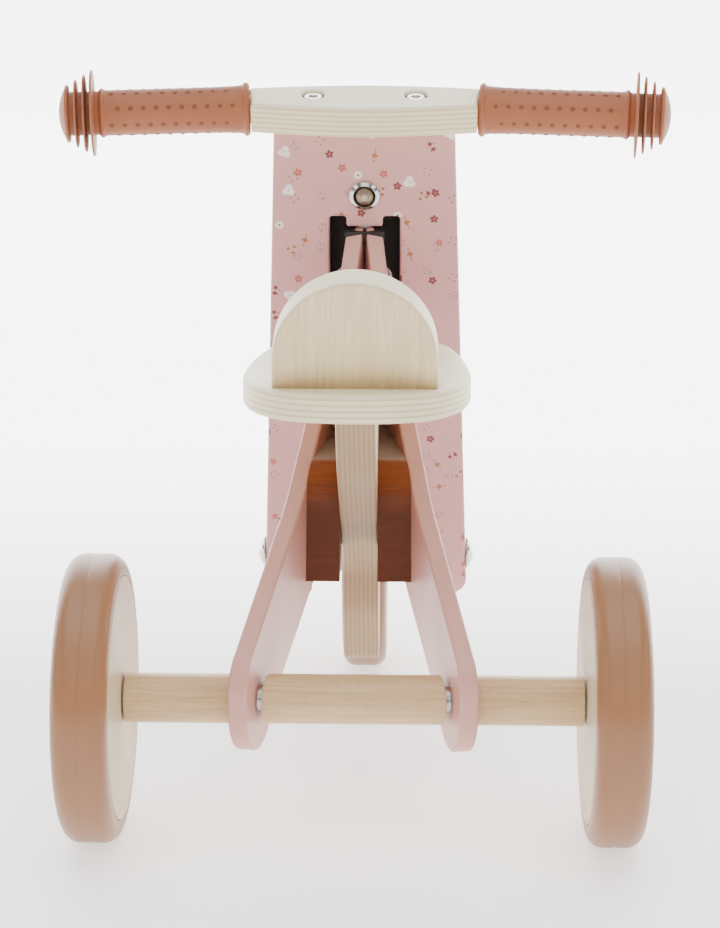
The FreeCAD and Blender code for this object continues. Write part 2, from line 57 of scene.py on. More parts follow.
# Places read from the frame -----------------------------------------------
def joint(name):
    return next(item for item in frame["joints"] if item["name"] == name)


def middle(node):
    low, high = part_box(node)
    return (low + high) / 2


def span(node, axis=0):
    """Lowest and highest value of a node along an axis, in millimetres."""
    low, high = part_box(node)
    return low[axis] / MM, high[axis] / MM


STEER = joint("steering")
STEER_UP = Vector(STEER["axis"]).normalized()
STEER_AT = Vector(STEER["pos_m"])
BACK = X_AXIS.cross(STEER_UP)
FORK_PLACE = Matrix.Translation(STEER_AT) @ Matrix((X_AXIS, STEER_UP, BACK)).transposed().to_4x4()
UPRIGHT = Matrix(((0, 0, 1), (1, 0, 0), (0, 1, 0))).to_4x4()    # local x, y, z to Y, Z, X
REAR_Y = middle("rear_axle_rod").y / MM
AXLE_Z = middle("rear_axle_rod").z / MM


def fork_point(x, up, back):
    """World place, in metres, of a point given in the fork board's directions in mm."""
    return FORK_PLACE @ (Vector((x, up, back)) * MM)


def fork_yz(up, back):
    point = fork_point(0, up, back)
    return point.y / MM, point.z / MM


def along(point, direction):
    """Place whose local z runs along a direction."""
    turn = Z_AXIS.rotation_difference(Vector(direction).normalized())
    return Matrix.Translation(point) @ turn.to_matrix().to_4x4()


# Colours ------------------------------------------------------------------
def rgb(red, green, blue):
    """Scene-linear colour of an 8-bit sRGB one."""
    channels = []
    for value in (red, green, blue):
        value /= 255
        channels.append(value / 12.92 if value <= 0.04045 else ((value + 0.055) / 1.055) ** 2.4)
    return (*channels, 1.0)


PINK = rgb(208, 152, 150)
ARM_PINK = rgb(208, 152, 140)
CREAM = rgb(240, 229, 194)
TYRE = rgb(148, 98, 58)
GRIP = rgb(156, 90, 54)
BEECH = rgb(214, 182, 136)
BIRCH = rgb(176, 146, 110)
VENEER = rgb(240, 218, 172)
BROWN = rgb(146, 74, 34)
BURGUNDY = rgb(126, 48, 54)
CORAL = rgb(184, 88, 80)
OCHRE = rgb(160, 98, 56)
SPRIG = rgb(140, 116, 116)
DARK = rgb(112, 72, 70)
WHITE = rgb(236, 222, 218)


# Material helpers ---------------------------------------------------------
class Shader:
    """A small wrapper that keeps node trees short."""

    def __init__(self, name, colour, roughness, **settings):
        self.material = bpy.data.materials.new(name)
        self.material.use_nodes = True
        self.tree = self.material.node_tree
        self.bsdf = self.tree.nodes["Principled BSDF"]
        self.bsdf.inputs["Base Color"].default_value = colour
        self.bsdf.inputs["Roughness"].default_value = roughness
        for socket, value in settings.items():
            self.bsdf.inputs[socket.replace("_", " ")].default_value = value

    def add(self, kind, inputs=None, **properties):
        node = self.tree.nodes.new("ShaderNode" + kind)
        for key, value in properties.items():
            setattr(node, key, value)
        for key, value in (inputs or {}).items():
            self.put(value, node.inputs[key])
        return node

    def put(self, value, socket):
        if isinstance(value, bpy.types.NodeSocket):
            self.tree.links.new(value, socket)
        else:
            socket.default_value = value

    def place(self, scale=(1, 1, 1), offset=(0, 0, 0)):
        """Object-space position in millimetres, scaled and moved."""
        coordinates = self.add("TexCoord").outputs["Object"]
        factors = tuple(1000 * value for value in scale)
        mapping = self.add("Mapping", {0: coordinates, "Scale": factors, "Location": offset})
        return mapping.outputs[0]

    def math(self, operation, first, second=0.0, third=0.0):
        node = self.add("Math", {0: first, 1: second, 2: third}, operation=operation)
        return node.outputs[0]

    def vector(self, operation, first, second=(0, 0, 0)):
        return self.add("VectorMath", {0: first, 1: second}, operation=operation).outputs[0]

    def split(self, value):
        return self.add("SeparateXYZ", {0: value}).outputs

    def noise(self, place, scale=1.0, detail=3.0, roughness=0.5, distortion=0.0):
        values = {
            "Vector": place, "Scale": scale, "Detail": detail, "Roughness": roughness,
            "Distortion": distortion,
        }
        return self.add("TexNoise", values).outputs[0]

    def fit(self, value, low, high, to_low=0.0, to_high=1.0):
        """Map a range onto another and hold it there."""
        values = {0: value, 1: low, 2: high, 3: to_low, 4: to_high}
        return self.add("MapRange", values).outputs[0]

    def mix(self, factor, first, second, blend="MIX"):
        node = self.add("Mix", data_type="RGBA", blend_type=blend)
        self.put(factor, node.inputs[0])
        self.put(first, node.inputs[6])
        self.put(second, node.inputs[7])
        return node.outputs[2]

    def colour(self, value):
        self.put(value, self.bsdf.inputs["Base Color"])

    def rough(self, value):
        self.put(value, self.bsdf.inputs["Roughness"])

    def bump(self, height, distance_mm, strength=1.0):
        values = {"Height": height, "Distance": distance_mm * MM, "Strength": strength}
        self.put(self.add("Bump", values).outputs[0], self.bsdf.inputs["Normal"])


# Materials ----------------------------------------------------------------
def paint(name, colour, coat=0.15, grain_scale=(0.9, 0.06, 0.9)):
    """Satin paint with the wood grain faintly telegraphing through it."""
    shader = Shader(name, colour, 0.4, Coat_Weight=coat, Coat_Roughness=0.3)
    grain = shader.noise(shader.place(grain_scale), 1.0, 5, 0.6)
    cloud = shader.noise(shader.place(), 0.02, 2)
    darker = [value * 0.93 for value in colour[:3]] + [1.0]
    shader.colour(shader.mix(shader.fit(grain, 0.35, 0.75, 0.0, 0.45), colour, darker))
    shader.rough(shader.fit(cloud, 0.3, 0.7, 0.36, 0.5))
    shader.bump(grain, 0.05, 0.35)
    return shader


def printed_paint():
    """Pink satin paint printed with small scattered flowers, sprigs and dots."""
    shader = paint("pink_print", PINK, 0.2)
    base = shader.bsdf.inputs["Base Color"].links[0].from_socket
    layers = [
        (21.0, (3.1, 7.7), 0.60, [(BURGUNDY, "flower"), (CORAL, "star"), (OCHRE, "clover")]),
        (24.0, (41.3, 18.2), 0.62, [(WHITE, "daisy"), (SPRIG, "sprig"), (WHITE, "puff")]),
        (26.0, (71.9, 55.6), 0.60, [(BURGUNDY, "leaves"), (OCHRE, "buds"), (CORAL, "flower")]),
        (16.0, (15.7, 92.4), 0.34, [(DARK, "dots"), (SPRIG, "sprig"), (BURGUNDY, "leaves")]),
    ]
    for spacing, offset, share, motifs in layers:
        base = print_layer(shader, base, spacing, offset, share, motifs)
    shader.colour(base)
    return shader


def print_layer(shader, base, spacing, offset, share, motifs):
    """One scatter of motifs: a cell grid gives each motif its middle, turn and kind."""
    place = shader.place((1 / spacing, 1 / spacing, 0), (*offset, 0))
    cells = shader.add("TexVoronoi", {"Vector": place, "Scale": 1.0, "Randomness": 0.72})
    cells.voronoi_dimensions = "2D"
    chance = shader.split(cells.outputs["Color"])
    away = shader.vector("SUBTRACT", place, cells.outputs["Position"])
    x, y, _ = shader.split(away)
    distance = shader.math("MULTIPLY", cells.outputs["Distance"], spacing)
    turn = shader.math("MULTIPLY", chance[1], 2 * math.pi)
    angle = shader.math("ADD", shader.math("ARCTAN2", y, x), turn)
    ink = base
    for index, (colour, kind) in enumerate(motifs):
        low = index / len(motifs) * share
        high = (index + 1) / len(motifs) * share
        above = shader.math("GREATER_THAN", chance[0], low)
        below = shader.math("LESS_THAN", chance[0], high)
        chosen = shader.math("MULTIPLY", above, below)
        mask, heart, heart_colour = motif(shader, kind, distance, angle)
        ink = shader.mix(shader.math("MULTIPLY", mask, chosen), ink, colour)
        if heart is not None:
            ink = shader.mix(shader.math("MULTIPLY", heart, chosen), ink, heart_colour)
    return ink


def petals(shader, angle, count, low, high):
    """Outline radius of a flower, in mm."""
    wave = shader.math("COSINE", shader.math("MULTIPLY", angle, count / 2))
    return shader.math("MULTIPLY_ADD", shader.math("ABSOLUTE", wave), high - low, low)


def inside(shader, distance, radius, soft=0.25):
    """1 where distance is under radius, with a soft printed edge."""
    gap = shader.math("SUBTRACT", radius, distance)
    return shader.fit(gap, -soft / 2, soft / 2)


def satellites(shader, distance, angle, count, orbit, radius):
    """Mask of small dots set evenly round the middle of the motif."""
    sector = 2 * math.pi / count
    folded = shader.math("PINGPONG", angle, sector / 2)
    side = shader.math("MULTIPLY", distance, shader.math("SINE", folded))
    reach = shader.math("MULTIPLY", distance, shader.math("COSINE", folded))
    offset = shader.math("SUBTRACT", reach, orbit)
    squares = shader.math("ADD", shader.math("POWER", side, 2), shader.math("POWER", offset, 2))
    return inside(shader, shader.math("SQRT", squares), radius)


def motif(shader, kind, distance, angle):
    """Masks of a printed motif: its body, its heart or None, and the heart's colour."""
    if kind == "flower":
        body = inside(shader, distance, petals(shader, angle, 5, 1.6, 2.7))
        return body, inside(shader, distance, 0.4), PINK
    if kind == "star":
        body = inside(shader, distance, petals(shader, angle, 5, 0.9, 2.5))
        return body, inside(shader, distance, 0.3), PINK
    if kind == "daisy":
        body = inside(shader, distance, petals(shader, angle, 8, 2.0, 2.8))
        return body, inside(shader, distance, 0.75), DARK
    if kind == "puff":
        body = inside(shader, distance, petals(shader, angle, 3, 2.3, 3.9), 0.5)
        return body, inside(shader, distance, 0.5, 0.5), SPRIG
    if kind == "clover":
        body = inside(shader, distance, petals(shader, angle, 4, 0.9, 2.0))
        return body, satellites(shader, distance, angle, 2, 3.5, 0.6), OCHRE
    if kind == "buds":
        return satellites(shader, distance, angle, 3, 2.3, 1.0), None, None
    if kind == "dots":
        return satellites(shader, distance, angle, 4, 2.4, 0.5), None, None
    if kind == "leaves":
        pair = satellites(shader, distance, angle, 2, 1.9, 1.25)
        return pair, satellites(shader, distance, angle, 5, 2.6, 0.45), BURGUNDY
    stem = inside(shader, shader.math("ABSOLUTE", shader.math("SINE", angle)), 0.16, 0.05)
    stem = shader.math("MULTIPLY", stem, inside(shader, distance, 3.0))
    return stem, satellites(shader, distance, angle, 5, 2.2, 0.5), SPRIG


def plies(name, light, dark, pitch):
    """Edge of plywood: layers stacked along local z, pitch mm apart, with end-grain flecks."""
    shader = Shader(name, light, 0.5, Coat_Weight=0.1, Coat_Roughness=0.3)
    across = shader.split(shader.place())[2]
    wobble = shader.noise(shader.place((0.03, 0.03, 0.03)), 1.0, 2)
    depth = shader.math("MULTIPLY_ADD", wobble, 0.5, across)
    layer = shader.math("FRACT", shader.math("MULTIPLY", depth, 1 / pitch))
    line = shader.fit(layer, 0.5, 0.62)
    line = shader.math("MULTIPLY", line, shader.fit(layer, 0.82, 0.98, 1.0, 0.0))
    flecks = shader.noise(shader.place((0.5, 0.5, 2.2)), 1.6, 4, 0.65)
    shade = shader.mix(line, light, dark)
    deep = [value * 0.62 for value in dark[:3]] + [1.0]
    shade = shader.mix(shader.fit(flecks, 0.55, 0.78, 0.0, 0.5), shade, deep)
    shader.colour(shade)
    shader.bump(shader.math("ADD", line, flecks), 0.08, 0.5)
    return shader


def wood(name, light, dark, grain="x", fleck=0.5, coat=0.25, roughness=0.4):
    """Lacquered solid wood or veneer: long grain, soft figure and short dark flecks."""
    shader = Shader(name, light, roughness, Coat_Weight=coat, Coat_Roughness=0.2)
    stretch = {"x": (0.022, 0.5, 0.5), "y": (0.5, 0.022, 0.5), "z": (0.5, 0.5, 0.022)}[grain]
    fine = tuple(value * 3.2 for value in stretch)
    short = tuple(0.22 if value < 0.1 else 2.2 for value in stretch)
    figure = shader.noise(shader.place(stretch), 1.0, 4, 0.55, 0.6)
    streaks = shader.noise(shader.place(fine), 1.0, 5, 0.65)
    marks = shader.noise(shader.place(short), 1.0, 2, 0.5)
    shade = shader.mix(shader.fit(figure, 0.3, 0.75), light, dark)
    shade = shader.mix(shader.fit(streaks, 0.45, 0.8, 0.0, 0.55), shade, dark)
    deep = [value * 0.55 for value in dark[:3]] + [1.0]
    shader.colour(shader.mix(shader.fit(marks, 0.62, 0.72, 0.0, fleck), shade, deep))
    shader.rough(shader.fit(streaks, 0.3, 0.8, roughness - 0.06, roughness + 0.1))
    shader.bump(streaks, 0.06, 0.4)
    return shader


def stained_block():
    """Brown stained beech: darker low down, with a painted pale reflection on its upper face."""
    shader = wood("brown_stain", BROWN, rgb(116, 58, 28), "x", 0.4, 0.1, 0.45)
    base = shader.bsdf.inputs["Base Color"].links[0].from_socket
    height = shader.split(shader.place())[2]
    low = shader.fit(height, 150.0, 176.0, 1.0, 0.0)
    base = shader.mix(shader.math("MULTIPLY", low, 0.8), base, rgb(74, 34, 14))
    # Faces that point up are painted pale: a painted reflection of the lit board ahead, not the
    # wood's own colour.
    painted_reflection_up = shader.split(shader.add("NewGeometry").outputs["Normal"])[2]
    shader.colour(shader.mix(shader.fit(painted_reflection_up, 0.93, 0.98), base, rgb(150, 132, 124)))
    shader.bsdf.inputs["Specular IOR Level"].default_value = 0.15
    return shader


def soft_plastic(name, colour, roughness, speckle=0.05, **settings):
    """Moulded rubber, silicone or nylon with a fine matte texture."""
    shader = Shader(name, colour, roughness, **settings)
    cloud = shader.noise(shader.place((0.03, 0.03, 0.03)), 1.0, 3)
    fine = shader.noise(shader.place(), 2.6, 2, 0.6)
    darker = [value * 0.86 for value in colour[:3]] + [1.0]
    shader.colour(shader.mix(shader.fit(cloud, 0.35, 0.7, 0.0, 0.5), colour, darker))
    shader.rough(shader.fit(fine, 0.3, 0.7, roughness - 0.05, roughness + 0.07))
    shader.bump(fine, speckle, 0.4)
    return shader


def metal(name, colour, roughness, brushed=0.0):
    """Polished chrome, or brushed zinc when brushed is above 0."""
    shader = Shader(name, colour, roughness, Metallic=1.0)
    fine = shader.noise(shader.place((0.35, 2.4, 2.4)), 1.4, 3)
    smear = shader.noise(shader.place((0.12, 0.12, 0.12)), 1.0, 3)
    shader.rough(shader.fit(smear, 0.3, 0.7, roughness * 0.8, roughness * 1.5))
    shader.bump(fine, 0.01 + brushed * 0.05, 0.15 + brushed)
    return shader


FLOOR_GLOW = 1.1                   # keeps the studio floor almost white
FAR_GLOW = 5.0                     # the floor and backdrop ahead of the tricycle


def floor_material():
    shader = Shader("floor", rgb(240, 240, 238), 0.6)
    shader.bsdf.inputs["Emission Color"].default_value = (1.0, 1.0, 1.0, 1.0)
    ahead = shader.split(shader.place())[1]
    glow = shader.fit(ahead, 100.0, 900.0, FLOOR_GLOW, FAR_GLOW)
    shader.put(glow, shader.bsdf.inputs["Emission Strength"])
    cloud = shader.noise(shader.place((0.002, 0.002, 0.002)), 1.0, 2)
    shader.colour(shader.mix(cloud, rgb(241, 241, 239), rgb(237, 237, 236)))
    return shader


M = {
    "pink_print": printed_paint(),
    "pink_paint": paint("pink_paint", ARM_PINK, 0.25),
    "pink_edge": paint("pink_edge", ARM_PINK, 0.2, (0.4, 0.4, 1.4)),
    "cream_paint": paint("cream_paint", CREAM, 0.2),
    "disc_paint": paint("disc_paint", rgb(204, 185, 150), 0.15, (0.9, 0.9, 0.07)),
    "cream_plies": plies("cream_plies", rgb(238, 226, 188), rgb(214, 196, 152), 3.0),
    "birch_plies": plies("birch_plies", rgb(168, 140, 106), rgb(152, 124, 90), 2.6),
    "birch_face": wood("birch_face", BIRCH, rgb(166, 132, 94), "y", 0.15),
    "veneer": wood("veneer", VENEER, rgb(216, 190, 146), "y", 0.1, 0.15, 0.46),
    "brown_stain": stained_block(),
    "dowel": wood("dowel", BEECH, rgb(190, 152, 104), "z", 0.55, 0.2, 0.42),
    "tyre": soft_plastic("tyre", TYRE, 0.42, 0.04, Coat_Weight=0.25, Coat_Roughness=0.28),
    "silicone": soft_plastic("silicone", GRIP, 0.55, 0.03),
    # The bumps' darker brown is painted shade round the small raised dots; the real dots are the
    # grip's own silicone.
    "bumps": soft_plastic("bumps", rgb(120, 62, 36), 0.6),
    "nylon": soft_plastic("nylon", rgb(226, 222, 210), 0.5),
    "black_plastic": soft_plastic("black_plastic", rgb(22, 23, 25), 0.55, 0.05),
    "chrome": metal("chrome", (0.56, 0.55, 0.54, 1), 0.12),
    # The dome metal's dark brown colour is a painted reflection of the brown block, the pink board
    # and the shade under the seat.
    "dome": metal("dome", (0.26, 0.20, 0.14, 1), 0.4),
    "steel": metal("steel", (0.42, 0.42, 0.43, 1), 0.25, 0.4),
    "floor": floor_material(),
}


# Mesh helpers -------------------------------------------------------------
def rounded(points, radii, step=7.0):
    """Polygon with rounded corners, each arc cut into steps of about `step` degrees."""
    corners = [Vector(point) for point in points]
    count = len(corners)
    outline = []
    for index, here in enumerate(corners):
        radius = radii[index]
        if radius <= 0:
            outline.append(here)
            continue
        way_in = (corners[index - 1] - here).normalized()
        way_out = (corners[(index + 1) % count] - here).normalized()
        half = way_in.angle(way_out) / 2
        bisector = (way_in + way_out).normalized()
        centre = here + bisector * (radius / math.sin(half))
        start = here + way_in * (radius / math.tan(half)) - centre
        end = here + way_out * (radius / math.tan(half)) - centre
        swing = start.angle_signed(end)
        steps = max(2, round(math.degrees(abs(swing)) / step))
        for number in range(steps + 1):
            turn = -swing * number / steps
            cosine, sine = math.cos(turn), math.sin(turn)
            arm = Vector((start.x * cosine - start.y * sine, start.x * sine + start.y * cosine))
            outline.append(centre + arm)
    return outline


def signed_area(outline):
    total = 0.0
    for index, here in enumerate(outline):
        before = outline[index - 1]
        total += before.x * here.y - here.x * before.y
    return total / 2


def offsets(outline, outward):
    """Unit-ish steps that move each point of an outline out of the material."""
    steps = []
    turn = 1 if (signed_area(outline) > 0) == outward else -1
    for index, here in enumerate(outline):
        before = (here - outline[index - 1]).normalized()
        after = (outline[(index + 1) % len(outline)] - here).normalized()
        normal = Vector((before.y + after.y, -before.x - after.x)).normalized()
        stretch = max(0.5, normal.dot(Vector((after.y, -after.x))))
        steps.append(normal * turn / stretch)
    return steps


def board(name, outlines, thickness, edge, face, side, steps=4):
    """Flat board with rounded edges. The first outline is its rim, the others are holes."""
    mesh = bmesh.new()
    half = thickness / 2
    soft = steps // 2               # levels at each face that belong to it, not to the side
    levels = []
    for number in range(steps + 1):
        turn = math.pi / 2 * number / steps
        levels.append((edge * (1 - math.sin(turn)), half - edge * (1 - math.cos(turn))))
    levels += [(inset, -height) for inset, height in reversed(levels)]
    caps = ([], [])
    for index, outline in enumerate(outlines):
        moves = offsets(outline, index == 0)
        rings = []
        for inset, height in levels:
            ring = []
            for point, move in zip(outline, moves):
                place = point - move * inset
                ring.append(mesh.verts.new(Vector((place.x, place.y, height)) * MM))
            rings.append(ring)
        flip = (signed_area(outline) > 0) == (index == 0)
        for level in range(len(rings) - 1):
            for number in range(len(outline)):
                following = (number + 1) % len(outline)
                corners = [
                    rings[level][number], rings[level][following],
                    rings[level + 1][following], rings[level + 1][number],
                ]
                quad = mesh.faces.new(reversed(corners) if flip else corners)
                quad.material_index = int(soft <= level <= len(rings) - 2 - soft)
        for cap, ring in zip(caps, (rings[0], rings[-1])):
            for number, vertex in enumerate(ring):
                following = ring[(number + 1) % len(ring)]
                cap.append(mesh.edges.get((vertex, following)))
    for cap, up in zip(caps, (1, -1)):
        bmesh.ops.triangle_fill(mesh, use_beauty=True, edges=cap, normal=(0, 0, up))
    bmesh.ops.recalc_face_normals(mesh, faces=mesh.faces)
    return finish_mesh(name, mesh, [face, side])


def lathe(name, profile, materials, steps=72, kinds=None):
    """Turned piece around local z. The profile is a list of (height, radius)."""
    mesh = bmesh.new()
    rings = []
    for height, radius in profile:
        if radius <= 1e-6:
            rings.append([mesh.verts.new((0, 0, height * MM))])
            continue
        ring = []
        for number in range(steps):
            turn = 2 * math.pi * number / steps
            place = Vector((radius * math.cos(turn), radius * math.sin(turn), height))
            ring.append(mesh.verts.new(place * MM))
        rings.append(ring)
    closed = len(rings[0]) > 1 and len(rings[-1]) > 1
    pairs = list(zip(rings, rings[1:]))
    if closed:
        pairs.append((rings[-1], rings[0]))
    for index, (first, second) in enumerate(pairs):
        for number in range(steps):
            following = (number + 1) % steps
            corners = [first[number % len(first)], first[following % len(first)],
                       second[following % len(second)], second[number % len(second)]]
            unique = list(dict.fromkeys(corners))
            if len(unique) > 2:
                ring_face = mesh.faces.new(unique)
                ring_face.material_index = kinds[index] if kinds else 0
    bmesh.ops.recalc_face_normals(mesh, faces=mesh.faces)
    return finish_mesh(name, mesh, materials)


def finish_mesh(name, mesh, materials):
    data = bpy.data.meshes.new(name)
    mesh.to_mesh(data)
    mesh.free()
    for material in materials:
        data.materials.append(M[material].material)
    data.shade_smooth()
    data.set_sharp_from_angle(angle=math.radians(40))
    piece = bpy.data.objects.new(name, data)
    bpy.context.scene.collection.objects.link(piece)
    weighted = piece.modifiers.new("flat_faces", "WEIGHTED_NORMAL")
    weighted.keep_sharp = True
    return piece


def settle(piece, place, body, slot, *nodes):
    """Put a finished piece in its place, on its body, for the CAD nodes it stands for."""
    piece.matrix_world = place
    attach(piece, body)
    if nodes:
        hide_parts(*nodes)


def join(pieces):
    """Join pieces that share a body into the first one."""
    bpy.ops.object.select_all(action="DESELECT")
    for piece in pieces:
        piece.select_set(True)
    bpy.context.view_layer.objects.active = pieces[0]
    bpy.ops.object.join()
    return pieces[0]


def trim(piece, place, point, direction):
    """Cut off what lies past a world plane along a direction, and close the cut."""
    mesh = bmesh.new()
    mesh.from_mesh(piece.data)
    inverse = place.inverted()
    cut = bmesh.ops.bisect_plane(
        mesh, geom=mesh.verts[:] + mesh.edges[:] + mesh.faces[:],
        plane_co=inverse @ Vector(point), plane_no=inverse.to_3x3() @ Vector(direction),
        clear_outer=True)
    rim = [item for item in cut["geom_cut"] if isinstance(item, bmesh.types.BMEdge)]
    bmesh.ops.holes_fill(mesh, edges=rim)
    mesh.to_mesh(piece.data)
    mesh.free()


def rounded_corners(corners, step=4.0):
    """Rounded polygon from (point, radius) pairs."""
    return rounded([point for point, _ in corners], [radius for _, radius in corners], step)


# Wheels -------------------------------------------------------------------
WHEEL_RADIUS = 75.0
DISC_RADIUS = 63.5
HUB_RADIUS = 8.0
HUB_CLEARANCE = 0.05
ROD_RADIUS = 4.0
DOWEL_RADIUS = 13.0
NUT_DIAMETER = 20.0
NUT_HEIGHT = 5.2
NUT_GAP = 3.3                   # between an arm and the middle sleeve


def arc(centre, radius, start, end, steps=6):
    """Profile points (height, radius) on a circular arc, angles in degrees from +height."""
    points = []
    for number in range(steps + 1):
        turn = math.radians(start + (end - start) * number / steps)
        points.append((centre[0] + radius * math.cos(turn), centre[1] + radius * math.sin(turn)))
    return points


def tyre_profile(half):
    """Section of the tyre: rounded shoulders, a faint mould line and soft inner lips."""
    shoulder = 8.0
    lip = 1.2
    outer = WHEEL_RADIUS - shoulder
    profile = arc((half - shoulder, outer), shoulder, 0, 90, 9)
    profile += [(1.1, WHEEL_RADIUS), (0.45, WHEEL_RADIUS - 0.35), (-0.45, WHEEL_RADIUS - 0.35)]
    profile += [(-1.1, WHEEL_RADIUS)]
    profile += arc((-half + shoulder, outer), shoulder, 90, 180, 9)
    profile += arc((-half + lip, DISC_RADIUS + lip), lip, 180, 270, 4)
    profile += arc((half - lip, DISC_RADIUS + lip), lip, 270, 360, 4)
    return profile


def disc_profile(low, high):
    """Wooden disc with eased rims and a plain bore for the hub bush."""
    ease = 0.9
    rim = DISC_RADIUS - 0.05
    return [
        (low, HUB_RADIUS), (low, rim - ease), (low + ease * 0.3, rim - ease * 0.3),
        (low + ease, rim), (high - ease, rim), (high - ease * 0.3, rim - ease * 0.3),
        (high, rim - ease), (high, HUB_RADIUS),
    ]


def make_wheel(name):
    """Tyre, wooden disc and hub bush, turned round the axle."""
    low, high = span(name + "_tyre")
    centre = middle(name + "_tyre")
    place = along(centre, X_AXIS)
    half = (high - low) / 2
    shift = (low + high) / 2
    tyre = lathe(name + "_soft_tyre", tyre_profile(half), ["tyre"], 128)
    settle(tyre, place, name, "tyre", name + "_tyre")
    disc_low, disc_high = (value - shift for value in span(name + "_disc"))
    disc = lathe(name + "_wood_disc", disc_profile(disc_low, disc_high), ["disc_paint"], 128)
    settle(disc, place, name, "wheel_wood", name + "_disc")
    hub_low, hub_high = (value - shift for value in span(name + "_bush"))
    bore = ROD_RADIUS + HUB_CLEARANCE
    ease = 0.4
    hub = lathe(name + "_hub_bush", [
        (hub_low, bore), (hub_low, HUB_RADIUS - ease), (hub_low + ease, HUB_RADIUS),
        (hub_high - ease, HUB_RADIUS), (hub_high, HUB_RADIUS - ease), (hub_high, bore),
    ], ["nylon"], 64)
    settle(hub, place, name, "bush", name + "_bush")


for wheel_name in ("front_wheel", "rear_left_wheel", "rear_right_wheel"):
    make_wheel(wheel_name)


# Axles, sleeves and nuts --------------------------------------------------
def dome_profile(diameter, height):
    """Domed head: short rim with an eased foot, then a spherical crown."""
    radius = diameter / 2
    rim = height * 0.25
    rise = height - rim
    ball = (radius ** 2 + rise ** 2) / (2 * rise)
    reach = math.degrees(math.asin(radius / ball))
    profile = [(0, 0), (0, radius - 0.5), (0.35, radius - 0.1), (0.6, radius)]
    for point in arc((height - ball, 0), ball, reach, 0, 10):
        profile.append((point[0], max(0.0, point[1])))
    return profile


def make_rod(name, node, body):
    low, high = span(node)
    ease = 0.6
    profile = [(0, 0), (0, ROD_RADIUS - ease), (ease, ROD_RADIUS)]
    length = high - low
    profile += [(length - ease, ROD_RADIUS), (length, ROD_RADIUS - ease), (length, 0)]
    piece = lathe(name, profile, ["steel"], 48)
    centre = middle(node)
    place = along(Vector((low * MM, centre.y, centre.z)), X_AXIS)
    settle(piece, place, body, "steel", node)


def make_caps(name, node, body):
    """Domed nuts at both ends of an axle."""
    low, high = span(node)
    centre = middle(node)
    caps = []
    for end, side in ((low, -1), (high, 1)):
        cap = lathe(name, dome_profile(NUT_DIAMETER, NUT_HEIGHT), ["chrome"], 64)
        base = Vector(((end - side * NUT_HEIGHT) * MM, centre.y, centre.z))
        cap.matrix_world = along(base, X_AXIS * side)
        caps.append(cap)
    bpy.context.view_layer.update()
    piece = join(caps)
    settle(piece, piece.matrix_world.copy(), body, "chrome", node)


def sleeve_profile(low, high):
    ease = 0.8
    radius = DOWEL_RADIUS
    return [
        (low, ROD_RADIUS), (low, radius - ease), (low + ease * 0.3, radius - ease * 0.3),
        (low + ease, radius), (high - ease, radius), (high - ease * 0.3, radius - ease * 0.3),
        (high, radius - ease), (high, ROD_RADIUS),
    ]


def slanted(piece, end, slope, side):
    """Lean one end of a sleeve along x so that it follows the slant of an arm."""
    rearward = piece.matrix_world.to_3x3().inverted() @ Vector((0, -1, 0))
    for vertex in piece.data.vertices:
        if abs(vertex.co.z - end * MM) < 1.5 * MM:
            vertex.co.z += side * slope * vertex.co.dot(rearward)


ARM_HEAD = (7.9, 70.0)
ARM_TAIL = (59.0, -188.0)
ARM_THICKNESS = 10.0
ARM_SLOPE = (ARM_TAIL[0] - ARM_HEAD[0]) / (ARM_HEAD[1] - ARM_TAIL[1])
ARM_ANGLE = math.atan(ARM_SLOPE)
ARM_ACROSS = ARM_THICKNESS / 2 / math.cos(ARM_ANGLE)


def arm_half(y):
    return ARM_HEAD[0] + (ARM_HEAD[1] - y) * ARM_SLOPE


def make_sleeve(name, node, body, low, high, slants=()):
    piece = lathe(name, sleeve_profile(low, high), ["dowel"], 72)
    centre = middle(node)
    place = along(Vector((0, centre.y, centre.z)), X_AXIS)
    piece.matrix_world = place
    for end, side in slants:
        slanted(piece, end, ARM_SLOPE, side)
    settle(piece, place, body, "dowel", node)


def make_axles():
    make_rod("rear_axle_steel", "rear_axle_rod", "frame")
    make_rod("front_axle_steel", "front_axle_rod", "fork")
    make_caps("rear_axle_domes", "rear_axle_caps", "frame")
    make_caps("front_axle_domes", "front_axle_caps", "fork")
    for side_name in ("left", "right"):
        node = "front_spacer_" + side_name
        make_sleeve("front_dowel_" + side_name, node, "fork", *span(node))
    gap = NUT_GAP / math.cos(ARM_ANGLE)
    inner = arm_half(REAR_Y) - ARM_ACROSS - gap
    outer = arm_half(REAR_Y) + ARM_ACROSS
    make_sleeve("rear_dowel_middle", "rear_sleeve_middle", "frame", -inner, inner,
                ((inner, 1), (-inner, -1)))
    far = span("rear_sleeve_right")[1]
    make_sleeve("rear_dowel_right", "rear_sleeve_right", "frame", outer, far, ((outer, 1),))
    make_sleeve("rear_dowel_left", "rear_sleeve_left", "frame", -far, -outer, ((-outer, -1),))


make_axles()


# Boards of the fork -------------------------------------------------------
BOARD_TOP = 300.5
BOARD_FOOT = -27.0
BOARD_HALF_TOP = 54.0
BOARD_HALF_FOOT = 67.0
BOARD_THICKNESS = 18.0
NOTCH_HALF = 36.0
NOTCH_TOP = 92.0
WINDOW_HALF = 21.4
WINDOW_LOW = 160.0
WINDOW_HIGH = 243.9
TONGUE_HALF = 11.0
TONGUE_DROP = 6.7
LOCK_UP = 257.8
BAR_THICKNESS = 18.0
BAR_BOLTS = (-30.5, 30.5)
RECESS_RADIUS = 6.6
RECESS_FLOOR = 12.0             # of the bolt recesses, above the crossbar's underside
GRIP_START = 68.0
GRIP_SWEEP = math.radians(5.0)
GRIP_REACH = 113.0
BUMP_TURN = math.radians(17)
GRIP_UP = BOARD_TOP + BAR_THICKNESS / 2


